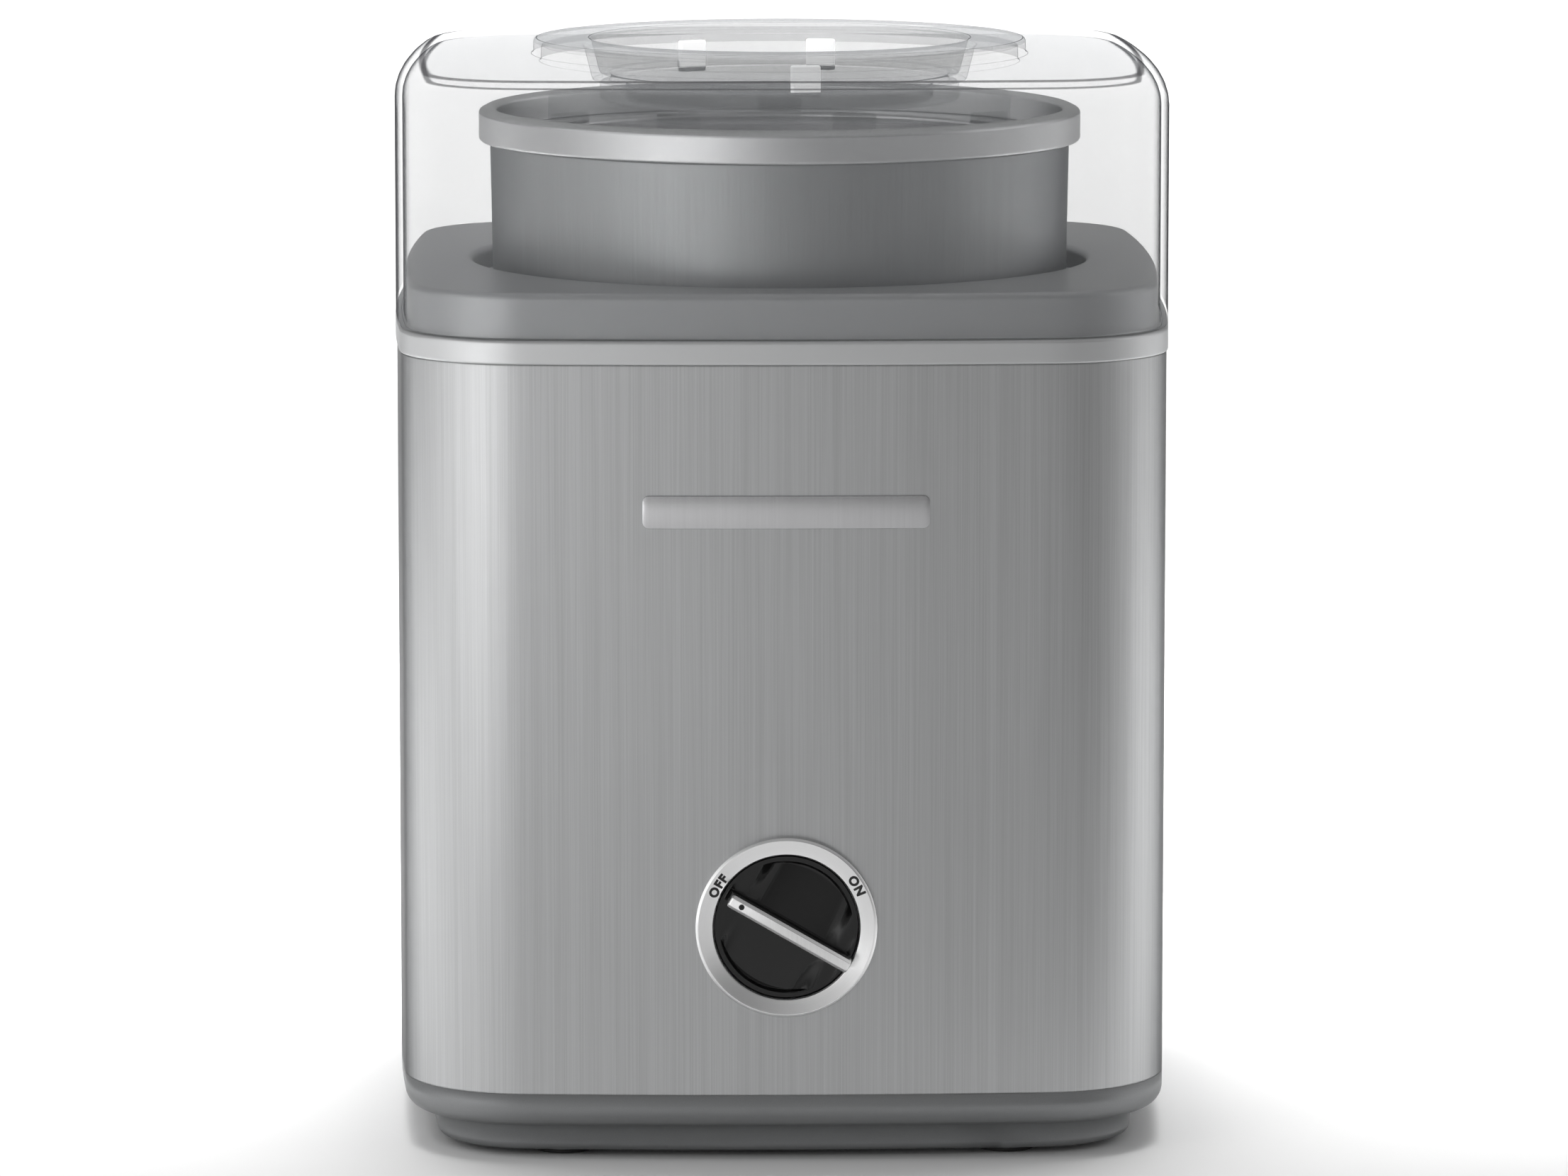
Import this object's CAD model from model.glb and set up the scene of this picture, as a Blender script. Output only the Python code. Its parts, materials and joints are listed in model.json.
"""The finished look of a countertop ice cream maker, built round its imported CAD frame.

Shapes are worked out in millimetres about the bowl's spin axis and moved to the frame's own
metres when a mesh is made. Each sub-assembly is a class that forms its surfaces and dresses them.
"""

import json
import logging
import math
from dataclasses import dataclass, field
from enum import Enum

import bmesh
import bpy
import numpy as np
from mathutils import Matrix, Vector


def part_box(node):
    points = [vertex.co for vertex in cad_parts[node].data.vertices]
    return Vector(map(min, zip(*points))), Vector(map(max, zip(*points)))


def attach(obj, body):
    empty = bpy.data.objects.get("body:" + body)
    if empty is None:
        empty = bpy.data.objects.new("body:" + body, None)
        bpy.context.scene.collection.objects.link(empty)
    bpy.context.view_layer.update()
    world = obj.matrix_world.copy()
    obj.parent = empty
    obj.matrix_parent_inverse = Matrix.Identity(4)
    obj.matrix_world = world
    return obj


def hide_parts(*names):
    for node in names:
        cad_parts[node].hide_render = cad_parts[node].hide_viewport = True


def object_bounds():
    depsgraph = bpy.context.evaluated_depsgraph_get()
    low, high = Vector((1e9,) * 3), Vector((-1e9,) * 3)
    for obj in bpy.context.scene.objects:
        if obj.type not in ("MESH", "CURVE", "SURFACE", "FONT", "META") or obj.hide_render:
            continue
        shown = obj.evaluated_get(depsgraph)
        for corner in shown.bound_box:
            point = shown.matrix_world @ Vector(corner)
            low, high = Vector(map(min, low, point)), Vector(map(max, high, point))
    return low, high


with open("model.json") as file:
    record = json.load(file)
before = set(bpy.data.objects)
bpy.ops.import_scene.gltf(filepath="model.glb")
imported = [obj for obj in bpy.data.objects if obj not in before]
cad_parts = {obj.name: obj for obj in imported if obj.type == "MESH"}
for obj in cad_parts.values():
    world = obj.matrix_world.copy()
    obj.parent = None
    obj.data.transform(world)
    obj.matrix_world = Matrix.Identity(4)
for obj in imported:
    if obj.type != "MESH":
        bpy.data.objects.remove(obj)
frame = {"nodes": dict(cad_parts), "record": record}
CAD_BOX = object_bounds()

LOG = logging.getLogger("ice_cream_maker")
MM = 0.001
AXIS_Y = (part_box("bowl_rim")[0].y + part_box("bowl_rim")[1].y) / 2 / MM
TOP = CAD_BOX[1].z / MM

Corner = tuple[float, float, float]
Colour = tuple[float, float, float]


def grey(tone: float) -> Colour:
    """An even grey."""
    return (tone, tone, tone)


# ---- shader maths -------------------------------------------------------------------------
class Signal:
    """A node's output that ordinary arithmetic can be written on."""

    def __init__(self, recipe: "Recipe", socket: bpy.types.NodeSocket) -> None:
        """Wraps an output socket of the recipe's node tree."""
        self.recipe = recipe
        self.socket = socket

    def _math(self, operation: str, *values: "Signal | float") -> "Signal":
        """Adds one Math node.

        Args:
            operation: the Math node's operation.
            values: its inputs, in order.

        Returns:
            The node's result.
        """
        numbered = dict(enumerate(values))
        return self.recipe.node("ShaderNodeMath", {"operation": operation}, numbered)

    def __add__(self, other: "Signal | float") -> "Signal":
        """Sum."""
        return self._math("ADD", self, other)

    def __radd__(self, other: float) -> "Signal":
        """Sum, with the number first."""
        return self._math("ADD", other, self)

    def __sub__(self, other: "Signal | float") -> "Signal":
        """Difference."""
        return self._math("SUBTRACT", self, other)

    def __rsub__(self, other: float) -> "Signal":
        """Difference, with the number first."""
        return self._math("SUBTRACT", other, self)

    def __mul__(self, other: "Signal | float") -> "Signal":
        """Product."""
        return self._math("MULTIPLY", self, other)

    def __truediv__(self, other: "Signal | float") -> "Signal":
        """Quotient."""
        return self._math("DIVIDE", self, other)

    def __pow__(self, other: "Signal | float") -> "Signal":
        """Power."""
        return self._math("POWER", self, other)

    def ramp(self, low: float, high: float) -> "Signal":
        """Smooth step from 0 at low to 1 at high."""
        settings = {"interpolation_type": "SMOOTHSTEP", "clamp": True}
        inputs = {"Value": self, "From Min": low, "From Max": high}
        return self.recipe.node("ShaderNodeMapRange", settings, inputs)


class Recipe:
    """One material's node tree, with a single way to add a node."""

    def __init__(self, name: str, tree: bpy.types.NodeTree | None = None) -> None:
        """Starts an empty material of that name, or empties the given tree."""
        self.material = None
        if tree is None:
            self.material = bpy.data.materials.new(name)
            self.material.use_nodes = True
            tree = self.material.node_tree
        self.tree = tree
        self.tree.nodes.clear()

    def raw(self, kind: str, settings: dict, inputs: dict) -> bpy.types.Node:
        """Adds a node, sets its options first, and then fills its sockets.

        Args:
            kind: the node's type name.
            settings: attributes of the node; "stops" fills a colour ramp.
            inputs: socket name or number to a number, tuple or Signal.

        Returns:
            The node itself.
        """
        made = self.tree.nodes.new(kind)
        for key, value in settings.items():
            if key == "stops":
                self._fill_ramp(made, value)
            else:
                setattr(made, key, value)
        for key, value in inputs.items():
            socket = made.inputs[key]
            if isinstance(value, Signal):
                self.tree.links.new(value.socket, socket)
            else:
                socket.default_value = value
        return made

    @staticmethod
    def _fill_ramp(made: bpy.types.Node, stops: list[tuple[float, Colour]]) -> None:
        """Sets a colour ramp's stops from (position, colour) pairs."""
        elements = made.color_ramp.elements
        while len(elements) < len(stops):
            elements.new(0.5)
        for element, (position, colour) in zip(elements, stops):
            element.position = position
            element.color = (*colour, 1.0)

    def node(self, kind: str, settings: dict, inputs: dict, output: str | int = 0) -> Signal:
        """Adds a node as raw() does and returns one of its outputs."""
        return Signal(self, self.raw(kind, settings, inputs).outputs[output])

    def place(self, scale: Corner = (1.0, 1.0, 1.0), turn: Corner = (0.0, 0.0, 0.0),
              centre: Corner = (0.0, 0.0, 0.0)) -> Signal:
        """Object coordinates, centred, then turned and scaled.

        Args:
            scale: how many pattern units a metre holds, along each axis.
            turn: turn about each axis, in radians.
            centre: the point, in millimetres of the spin axis frame, that becomes the pattern's zero.

        Returns:
            The pattern's coordinates.
        """
        where = self.node("ShaderNodeTexCoord", {}, {}, "Object")
        origin = (centre[0] * MM, (centre[1] + AXIS_Y) * MM, centre[2] * MM)
        moved = self.node("ShaderNodeVectorMath", {"operation": "SUBTRACT"}, {0: where, 1: origin})
        return self.node("ShaderNodeMapping", {}, {"Vector": moved, "Rotation": turn, "Scale": scale})

    def noise(self, where: Signal, scale: float, detail: float = 2.0, rough: float = 0.5) -> Signal:
        """Fractal noise between 0 and 1."""
        inputs = {"Vector": where, "Scale": scale, "Detail": detail, "Roughness": rough}
        return self.node("ShaderNodeTexNoise", {}, inputs, "Fac")

    def blend(self, factor: Signal, first: Colour | Signal, second: Colour | Signal) -> Signal:
        """Mixes two colours by a factor."""
        colours = {6: self._rgba(first), 7: self._rgba(second)}
        return self.node("ShaderNodeMix", {"data_type": "RGBA"}, {0: factor, **colours}, 2)

    @staticmethod
    def _rgba(colour: Colour | Signal) -> tuple[float, ...] | Signal:
        """A colour with its alpha added, or a signal as it is."""
        return colour if isinstance(colour, Signal) else (*colour, 1.0)

    def bump(self, height: Signal, depth_mm: float, strength: float = 1.0) -> Signal:
        """A normal from a height between 0 and 1 that stands for depth_mm of relief."""
        inputs = {"Strength": strength, "Distance": depth_mm * MM, "Height": height}
        return self.node("ShaderNodeBump", {}, inputs)

    def finish(self, inputs: dict) -> bpy.types.Material:
        """Closes the material with one Principled BSDF.

        Args:
            inputs: the shader's socket names to numbers, colours or signals.

        Returns:
            The finished material.
        """
        shader = self.raw("ShaderNodeBsdfPrincipled", {}, inputs)
        out = self.raw("ShaderNodeOutputMaterial", {}, {})
        self.tree.links.new(shader.outputs[0], out.inputs["Surface"])
        return self.material


# ---- finishes -----------------------------------------------------------------------------
class Grain(Enum):
    """Which way a brushed surface's scratches run."""

    UPRIGHT = "along Z"
    ROUND = "in circles about an upright axis"
    FACE_ROUND = "in circles about the knob's axis"
    BAR = "along the pointer bar"


@dataclass(frozen=True)
class BrushedMetal:
    """Metal with fine parallel scratches that break up its reflections across the grain.

    edge_tone is how bright its reflection is where the surface is seen edge on.
    """

    name: str
    colour: Colour
    roughness: float
    grain: Grain
    scratch_mm: float = 0.35
    depth_mm: float = 0.004
    contrast: float = 0.10
    centre: Corner = (0.0, 0.0, 0.0)
    turn: float = 0.0
    edge_tone: float = 1.0

    def _across(self, recipe: Recipe) -> Signal:
        """Coordinates whose scratches are long along the grain and fine across it."""
        fine = 1.0 / (self.scratch_mm * MM)
        if self.grain is Grain.UPRIGHT:
            return recipe.place((fine, fine, fine / 260.0))
        if self.grain is Grain.BAR:
            return recipe.place((fine, fine, fine / 40.0), (0.0, self.turn, 0.0), self.centre)
        spot = recipe.place(centre=self.centre)
        parts = recipe.raw("ShaderNodeSeparateXYZ", {}, {0: spot})
        x, y, z = (Signal(recipe, parts.outputs[n]) for n in range(3))
        flat, along = (y, z) if self.grain is Grain.ROUND else (z, y)
        radius = (x * x + flat * flat) ** 0.5
        return recipe.node("ShaderNodeCombineXYZ", {}, {0: radius * fine, 1: along * fine, 2: 0.0})

    def material(self) -> bpy.types.Material:
        """Colour, roughness and relief all follow the same scratches."""
        recipe = Recipe(self.name)
        across = self._across(recipe)
        fine = recipe.noise(across, 1.0, 3.0, 0.65)
        broad = recipe.noise(across, 0.16, 2.0)
        streaks = fine * 0.7 + broad * 0.3
        dark = tuple(c * (1.0 - self.contrast) for c in self.colour)
        light = tuple(min(1.0, c * (1.0 + self.contrast)) for c in self.colour)
        smudge = recipe.noise(recipe.place(), 9.0, 3.0)
        rough = self.roughness - 0.05 + streaks * 0.08 + smudge * 0.03
        return recipe.finish({
            "Base Color": recipe.blend(streaks.ramp(0.3, 0.7), dark, light),
            "Metallic": 1.0,
            "Roughness": rough,
            "Specular Tint": (*grey(self.edge_tone), 1.0),
            "Normal": recipe.bump(streaks, self.depth_mm),
        })


@dataclass(frozen=True)
class Moulded:
    """Moulded or painted plastic or rubber, with a fine grain and slight variation of tone.

    Below band_top the colour is multiplied by band_gain. edge_tone is how bright the reflection
    is where the surface is seen edge on.
    """

    name: str
    colour: Colour
    roughness: float
    grain_mm: float = 0.5
    depth_mm: float = 0.004
    metallic: float = 0.0
    flake: float = 0.03
    coat: float = 0.0
    edge_tone: float = 1.0
    band_top: float = 0.0
    band_gain: float = 1.0

    def material(self) -> bpy.types.Material:
        """A grain in the relief, flake in the tone, handling marks, and the lower band's tone."""
        recipe = Recipe(self.name)
        where = recipe.place()
        grain = recipe.noise(where, 1.0 / (self.grain_mm * MM), 2.0)
        marks = recipe.noise(where, 14.0, 4.0, 0.6)
        dark = tuple(c * (1.0 - self.flake) for c in self.colour)
        light = tuple(min(1.0, c * (1.0 + self.flake)) for c in self.colour)
        tone = recipe.blend((grain * 0.6 + marks * 0.4).ramp(0.35, 0.65), dark, light)
        if self.band_gain != 1.0:
            height = recipe.raw("ShaderNodeSeparateXYZ", {}, {0: where})
            above = Signal(recipe, height.outputs[2]).ramp(self.band_top * MM, (self.band_top + 0.3) * MM)
            band = tuple(c * self.band_gain for c in self.colour)
            tone = recipe.blend(above, band, tone)
        return recipe.finish({
            "Base Color": tone,
            "Metallic": self.metallic,
            "Roughness": self.roughness + (marks - 0.5) * 0.10,
            "Coat Weight": self.coat,
            "Coat Roughness": 0.15,
            "Specular Tint": (*grey(self.edge_tone), 1.0),
            "Normal": recipe.bump(grain, self.depth_mm),
        })


@dataclass(frozen=True)
class ClearMoulding:
    """Thin clear plastic: see-through face on, and grey where it is seen edge on or bends.

    face_on, level, edge_on, bend and thick are shares of opacity, shine is the coat's weight
    face on, and piped is the brightness of the dense part.
    """

    name: str
    tint: Colour = (0.30, 0.31, 0.32)
    rim: Colour = (0.05, 0.05, 0.055)
    face_on: float = 0.16
    level: float = 0.05
    edge_on: float = 0.90
    bend: float = 0.62
    thick_from: float = 400.0
    thick: float = 0.0
    shine: float = 0.8
    piped: float = 0.0

    def material(self) -> bpy.types.Material:
        """Opacity and darkness grow where the surface is seen edge on.

        The last few degrees of a round edge before it becomes level are darker, and so is a
        level face. The reflection is a coat's, which fades towards the edges. Above thick_from
        the plastic is denser and can shine with the light that it pipes up from below. Faint
        flow marks from the mould vary the gloss and the relief.
        """
        recipe = Recipe(self.name)
        edge = recipe.node("ShaderNodeLayerWeight", {}, {"Blend": 0.5}, "Facing")
        flow = recipe.noise(recipe.place((9.0, 9.0, 3.0)), 1.0, 2.0)
        height = recipe.raw("ShaderNodeSeparateXYZ", {}, {0: recipe.place((1000.0, 1000.0, 1000.0))})
        deep = Signal(recipe, height.outputs[2]).ramp(self.thick_from, self.thick_from + 0.4)
        normal = recipe.node("ShaderNodeTexCoord", {}, {}, "Normal")
        lean = recipe.raw("ShaderNodeSeparateXYZ", {}, {0: normal})
        upward = Signal(recipe, lean.outputs[2])
        bent = upward.ramp(0.93, 0.96) * (1.0 - upward.ramp(0.98, 0.995))
        shade = edge.ramp(0.925, 0.985)
        alpha = self.face_on + upward.ramp(0.95, 1.0) * self.level + shade * self.edge_on + bent * self.bend
        return recipe.finish({
            "Base Color": recipe.blend((shade + bent).ramp(0.1, 0.9), self.tint, self.rim),
            "Roughness": 0.03 + flow * 0.04,
            "Alpha": alpha + deep * self.thick,
            "Normal": recipe.bump(flow, 0.05, 0.3),
            "Specular IOR Level": 0.0,
            "Coat Weight": (1.0 - edge.ramp(0.55, 0.9)) * self.shine + 0.04,
            "Coat Roughness": 0.04,
            "Coat IOR": 1.49,
            "Emission Color": recipe.blend(deep, grey(0.0), grey(self.piped)),
            "Emission Strength": 1.0,
        })


# ---- shapes -------------------------------------------------------------------------------
def rounded_path(corners: list[Corner], steps: int = 6, closed: bool = False) -> np.ndarray:
    """Points of a path of straight runs whose corners are arcs.

    At each corner the arc of the given radius touches both runs at radius * tan(turn / 2) from
    it. A run also gets a point just inside each of its ends, which keeps flat stretches flat
    when the surface is shaded smooth.

    Args:
        corners: (across, up, radius) of each corner.
        steps: divisions of each arc.
        closed: whether the last corner joins the first.

    Returns:
        An array (n, 2) of points in order.
    """
    spots = np.array([c[:2] for c in corners], float)
    count = len(corners)
    path: list[np.ndarray] = []
    hold = 0.25
    for n, (across, up, radius) in enumerate(corners):
        here = np.array([across, up])
        ends = not closed and n in (0, count - 1)
        if ends or radius <= 0:
            path.append(here[None, :])
            continue
        back = spots[n - 1] - here
        ahead = spots[(n + 1) % count] - here
        back_run, ahead_run = np.linalg.norm(back), np.linalg.norm(ahead)
        back, ahead = back / back_run, ahead / ahead_run
        half = math.acos(float(np.clip(back @ ahead, -1, 1))) / 2
        reach = min(radius / math.tan(half), 0.49 * back_run, 0.49 * ahead_run)
        size = reach * math.tan(half)
        centre = here + (back + ahead) / np.linalg.norm(back + ahead) * size / math.sin(half)
        start, stop = here + back * reach - centre, here + ahead * reach - centre
        sweep = math.atan2(start[0] * stop[1] - start[1] * stop[0], start @ stop)
        angle = np.linspace(0, sweep, steps + 1)[:, None]
        side = np.array([-start[1], start[0]])
        arc = centre + start * np.cos(angle) + side * np.sin(angle)
        before = arc[0] + back * min(hold, 0.25 * (back_run - reach))
        after = arc[-1] + ahead * min(hold, 0.25 * (ahead_run - reach))
        path.append(np.vstack([before, arc, after]))
    return np.vstack(path)


@dataclass(frozen=True)
class Outline:
    """The body's plan: four bowed sides joined by round corners, about the spin axis."""

    half_x: float = 102.6
    half_y: float = 100.2
    bow: float = 5.0
    corner: float = 34.0
    side_steps: int = 24
    corner_steps: int = 16

    @property
    def columns(self) -> int:
        """Points in one full ring."""
        return 4 * (2 * self.side_steps + self.corner_steps)

    def _radii(self, inset: np.ndarray) -> tuple[np.ndarray, ...]:
        """Half sizes and the radii of the right and back sides' arcs at an inset."""
        hx, hy = self.half_x - inset, self.half_y - inset
        right = ((hy - self.bow) ** 2 + self.bow ** 2) / (2 * self.bow)
        back = ((hx - self.bow) ** 2 + self.bow ** 2) / (2 * self.bow)
        return hx, hy, right, back

    def rings(self, inset: np.ndarray) -> np.ndarray:
        """Rings of points, anticlockwise from the middle of the right side.

        A quarter is the right side's arc, the corner's arc and the back side's arc. The corner's
        centre is where circles of the two side radii less the corner radius cross, so all three
        arcs share tangents. The other quarters are mirror images.

        Args:
            inset: distances in from the outline, one for each ring.

        Returns:
            An array (rings, columns, 2).
        """
        inset = np.atleast_1d(np.asarray(inset, float))[:, None]
        hx, hy, right, back = self._radii(inset)
        round_r = np.maximum(self.corner - inset, 4.0)
        ax, ay = hx - right, hy - back
        r1, r2 = right - round_r, back - round_r
        gap = np.hypot(ax, ay)
        along = (r1 ** 2 - r2 ** 2 + gap ** 2) / (2 * gap)
        rise = np.sqrt(r1 ** 2 - along ** 2)
        ux, uy = -ax / gap, ay / gap
        cx = ax + ux * along - uy * rise
        cy = uy * along + ux * rise
        a1 = np.arctan2(cy, cx - ax)
        a2 = np.arctan2(cy - ay, cx)
        side = np.linspace(0, 1, self.side_steps, endpoint=False)[None, :]
        turn = np.linspace(0, 1, self.corner_steps, endpoint=False)[None, :]
        t1, t2 = side * a1, a1 + turn * (a2 - a1)
        t3 = a2 + side * (math.pi / 2 - a2)
        x = np.hstack([ax + right * np.cos(t1), cx + round_r * np.cos(t2), back * np.cos(t3)])
        y = np.hstack([right * np.sin(t1), cy + round_r * np.sin(t2), ay + back * np.sin(t3)])
        top = np.stack([np.zeros_like(hx), hy], -1)
        quarter = np.stack([x, y], -1)
        mirrored = np.concatenate([top, quarter[:, :0:-1]], 1) * [-1, 1]
        half = np.concatenate([quarter, mirrored], 1)
        return np.concatenate([half, -half], 1)

    def front(self, x: np.ndarray, inset: float) -> np.ndarray:
        """Y of the front side's arc at x."""
        _, hy, _, back = self._radii(np.float64(inset))
        return -(hy - back + np.sqrt(back ** 2 - x ** 2))


BODY = Outline()


def swept(profile: np.ndarray, square_to: float = 1e3, round_from: float = 2e3) -> np.ndarray:
    """A profile carried round the body, square outside and round inside.

    A point's first number is its inset at the middle of a side. Up to square_to it lies on the
    outline at that inset, and past round_from on a circle about the spin axis. Between them it
    is on the straight line that joins the two at the same bearing.

    Args:
        profile: (n, 2) points of inset and height.
        square_to: largest inset that is still square.
        round_from: smallest inset that is already round.

    Returns:
        A grid (n, columns, 3).
    """
    inset, height = profile[:, 0], profile[:, 1]
    square = BODY.rings(np.minimum(inset, square_to))
    bearing = np.arctan2(square[..., 1], square[..., 0])
    radius = BODY.half_x - np.maximum(inset, round_from)
    circle = radius[:, None, None] * np.stack([np.cos(bearing), np.sin(bearing)], -1)
    mix = np.clip((inset - square_to) / (round_from - square_to), 0, 1)[:, None, None]
    plan = square * (1 - mix) + circle * mix
    lift = np.broadcast_to(height[:, None, None], plan.shape[:2] + (1,))
    return np.concatenate([plan, lift], -1)


def turned(profile: np.ndarray, columns: int = 160) -> np.ndarray:
    """A profile of (radius, height) turned about the spin axis, as a grid (n, columns, 3)."""
    angle = np.linspace(0, 2 * math.pi, columns, endpoint=False)
    ring = np.stack([np.cos(angle), np.sin(angle)], -1)
    plan = profile[:, 0, None, None] * ring[None]
    lift = np.broadcast_to(profile[:, 1, None, None], plan.shape[:2] + (1,))
    return np.concatenate([plan, lift], -1)


def cell_faces(rows: int, columns: int, wrap_rows: bool, wrap_columns: bool) -> np.ndarray:
    """Quads of a grid of points, as an array (rows, columns, 4) of point numbers."""
    number = np.arange(rows * columns).reshape(rows, columns)
    if wrap_rows:
        number = np.vstack([number, number[:1]])
    if wrap_columns:
        number = np.hstack([number, number[:, :1]])
    return np.stack([number[:-1, :-1], number[:-1, 1:], number[1:, 1:], number[1:, :-1]], -1)


class Cast:
    """Collects surfaces into one mesh."""

    def __init__(self, name: str) -> None:
        """Starts an empty mesh of that name."""
        self.name = name
        self.points: list[np.ndarray] = []
        self.faces: list[list[int]] = []
        self.count = 0

    def add(self, points: np.ndarray, faces: np.ndarray) -> None:
        """Adds points (n, 3) and faces that number them from 0."""
        self.points.append(points.reshape(-1, 3))
        self.faces += (faces.reshape(-1, faces.shape[-1]) + self.count).tolist()
        self.count += self.points[-1].shape[0]

    def grid(self, grid: np.ndarray, closed: bool = False, wrap: bool = True) -> "Cast":
        """Adds a grid of rows.

        Args:
            grid: points (rows, columns, 3), with columns anticlockwise and rows up the outside.
            closed: whether the last row joins the first. If not, both end rows are closed by a fan.
            wrap: whether the last column joins the first.

        Returns:
            This cast, so that calls can be chained.
        """
        rows, columns = grid.shape[:2]
        start = self.count
        self.add(grid, cell_faces(rows, columns, closed, wrap))
        if not closed and wrap:
            for row, order in ((0, -1), (rows - 1, 1)):
                ring = np.arange(columns) + row * columns + start
                hub = self.count
                self.points.append(grid[row].mean(0)[None])
                self.count += 1
                fan = np.stack([ring, np.roll(ring, -1), np.full(columns, hub)], -1)[:, ::order]
                self.faces += fan.tolist()
        return self

    def pour(self) -> bpy.types.Object:
        """Makes the object, in the frame's metres, shaded smooth."""
        points = np.vstack(self.points)
        placed = (points + [0.0, AXIS_Y, 0.0]) * MM
        mesh = bpy.data.meshes.new(self.name)
        mesh.from_pydata(placed.tolist(), [], self.faces)
        mesh.polygons.foreach_set("use_smooth", np.ones(len(mesh.polygons), bool))
        mesh.update()
        mesh.validate()
        made = bpy.data.objects.new(self.name, mesh)
        bpy.context.scene.collection.objects.link(made)
        return made


def rounded_box(size: Corner, radius: float, steps: int = 4) -> np.ndarray:
    """A box with round edges: the inner box's corners plus a ball's surface at each.

    Args:
        size: full width, depth and height.
        radius: of every edge.
        steps: divisions of a quarter of the ball.

    Returns:
        A grid whose end rows are the flat bottom and top.
    """
    inner = np.array(size) / 2 - radius
    quarter = np.linspace(0, math.pi / 2, steps + 1)
    around = np.concatenate([quarter + q * math.pi / 2 for q in range(4)])
    sign_x = np.repeat([1, -1, -1, 1], steps + 1)
    sign_y = np.repeat([1, 1, -1, -1], steps + 1)
    rise = np.concatenate([quarter - math.pi / 2, quarter])
    sign_z = np.repeat([-1, 1], steps + 1)[:, None]
    flat = np.cos(rise)[:, None]
    x = sign_x * inner[0] + radius * flat * np.cos(around)
    y = sign_y * inner[1] + radius * flat * np.sin(around)
    z = sign_z * inner[2] + radius * np.sin(rise)[:, None] + 0 * x
    return np.stack([x, y, z], -1)


def turn_z(points: np.ndarray, degrees: float) -> np.ndarray:
    """Points turned about the upright axis."""
    c, s = math.cos(math.radians(degrees)), math.sin(math.radians(degrees))
    return points @ np.array([[c, s, 0], [-s, c, 0], [0, 0, 1]])


def dress(piece: bpy.types.Object, material: bpy.types.Material) -> None:
    """Gives a piece one material in place of what it has."""
    piece.data.materials.clear()
    piece.data.materials.append(material)


def settle(piece: bpy.types.Object, body: str, slot: str, finish: bpy.types.Material, *nodes: str) -> None:
    """Dresses a new piece, names its body, slot and replaced nodes, and reports it."""
    dress(piece, finish)
    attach(piece, body)
    if nodes:
        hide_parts(*nodes)
    LOG.info("%s: %d faces, rides on %s", piece.name, len(piece.data.polygons), body)


# ---- finishes of this machine -------------------------------------------------------------
STEEL_WRAP = BrushedMetal("brushed_wrap", (0.50, 0.505, 0.51), 0.34, Grain.UPRIGHT, 0.30, 0.003, 0.09,
                          edge_tone=0.1)
TRIM = Moulded("silver_trim", (0.48, 0.485, 0.49), 0.34, 0.25, 0.0015, 0.75, 0.02, edge_tone=0.3,
               band_top=215.6, band_gain=1.25)
BASE = Moulded("base_grey", (0.27, 0.275, 0.28), 0.38, 0.3, 0.003, 0.55, 0.03, edge_tone=0.5)
BOWL_WALL = BrushedMetal("bowl_wall_satin", (0.44, 0.445, 0.45), 0.38, Grain.UPRIGHT, 0.6, 0.0015, 0.05,
                         edge_tone=0.1)
RIM = Moulded("bowl_rim_satin", (0.78, 0.785, 0.79), 0.25, 0.2, 0.001, 0.85, 0.015, edge_tone=0.3)
LINER = BrushedMetal("spun_liner", (0.86, 0.86, 0.87), 0.24, Grain.ROUND, 0.4, 0.004, 0.08)
BEZEL = BrushedMetal("bezel_bright", (0.97, 0.97, 0.975), 0.20, Grain.FACE_ROUND, 0.25, 0.0015, 0.05,
                     (0.0, 0.0, 62.8))
POINTER = BrushedMetal("pointer_bright", (0.92, 0.92, 0.92), 0.20, Grain.BAR, 0.15, 0.002, 0.06,
                       (0.0, 0.0, 62.8), math.radians(60))
KNOB = Moulded("knob_black", (0.0035, 0.0035, 0.0035), 0.15, 0.4, 0.0008, 0.0, 0.1)
INK = Moulded("black_ink", (0.01, 0.01, 0.01), 0.5)
BADGE = BrushedMetal("badge_bright", (0.60, 0.60, 0.61), 0.22, Grain.UPRIGHT, 0.2, 0.002, 0.05)
RUBBER = Moulded("black_rubber", (0.03, 0.03, 0.03), 0.75, 0.4, 0.01)
WELL = Moulded("well_grey", (0.50, 0.505, 0.51), 0.45, 0.5, 0.004)
COVER = ClearMoulding("clear_cover_plastic", thick_from=284.6, thick=0.32)
PADDLE = ClearMoulding("clear_paddle_plastic", (0.52, 0.53, 0.54), (0.30, 0.30, 0.31), 0.17, 0.0, 0.40, 0.10,
                       thick_from=274.5, thick=1.0, piped=0.80)

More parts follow.
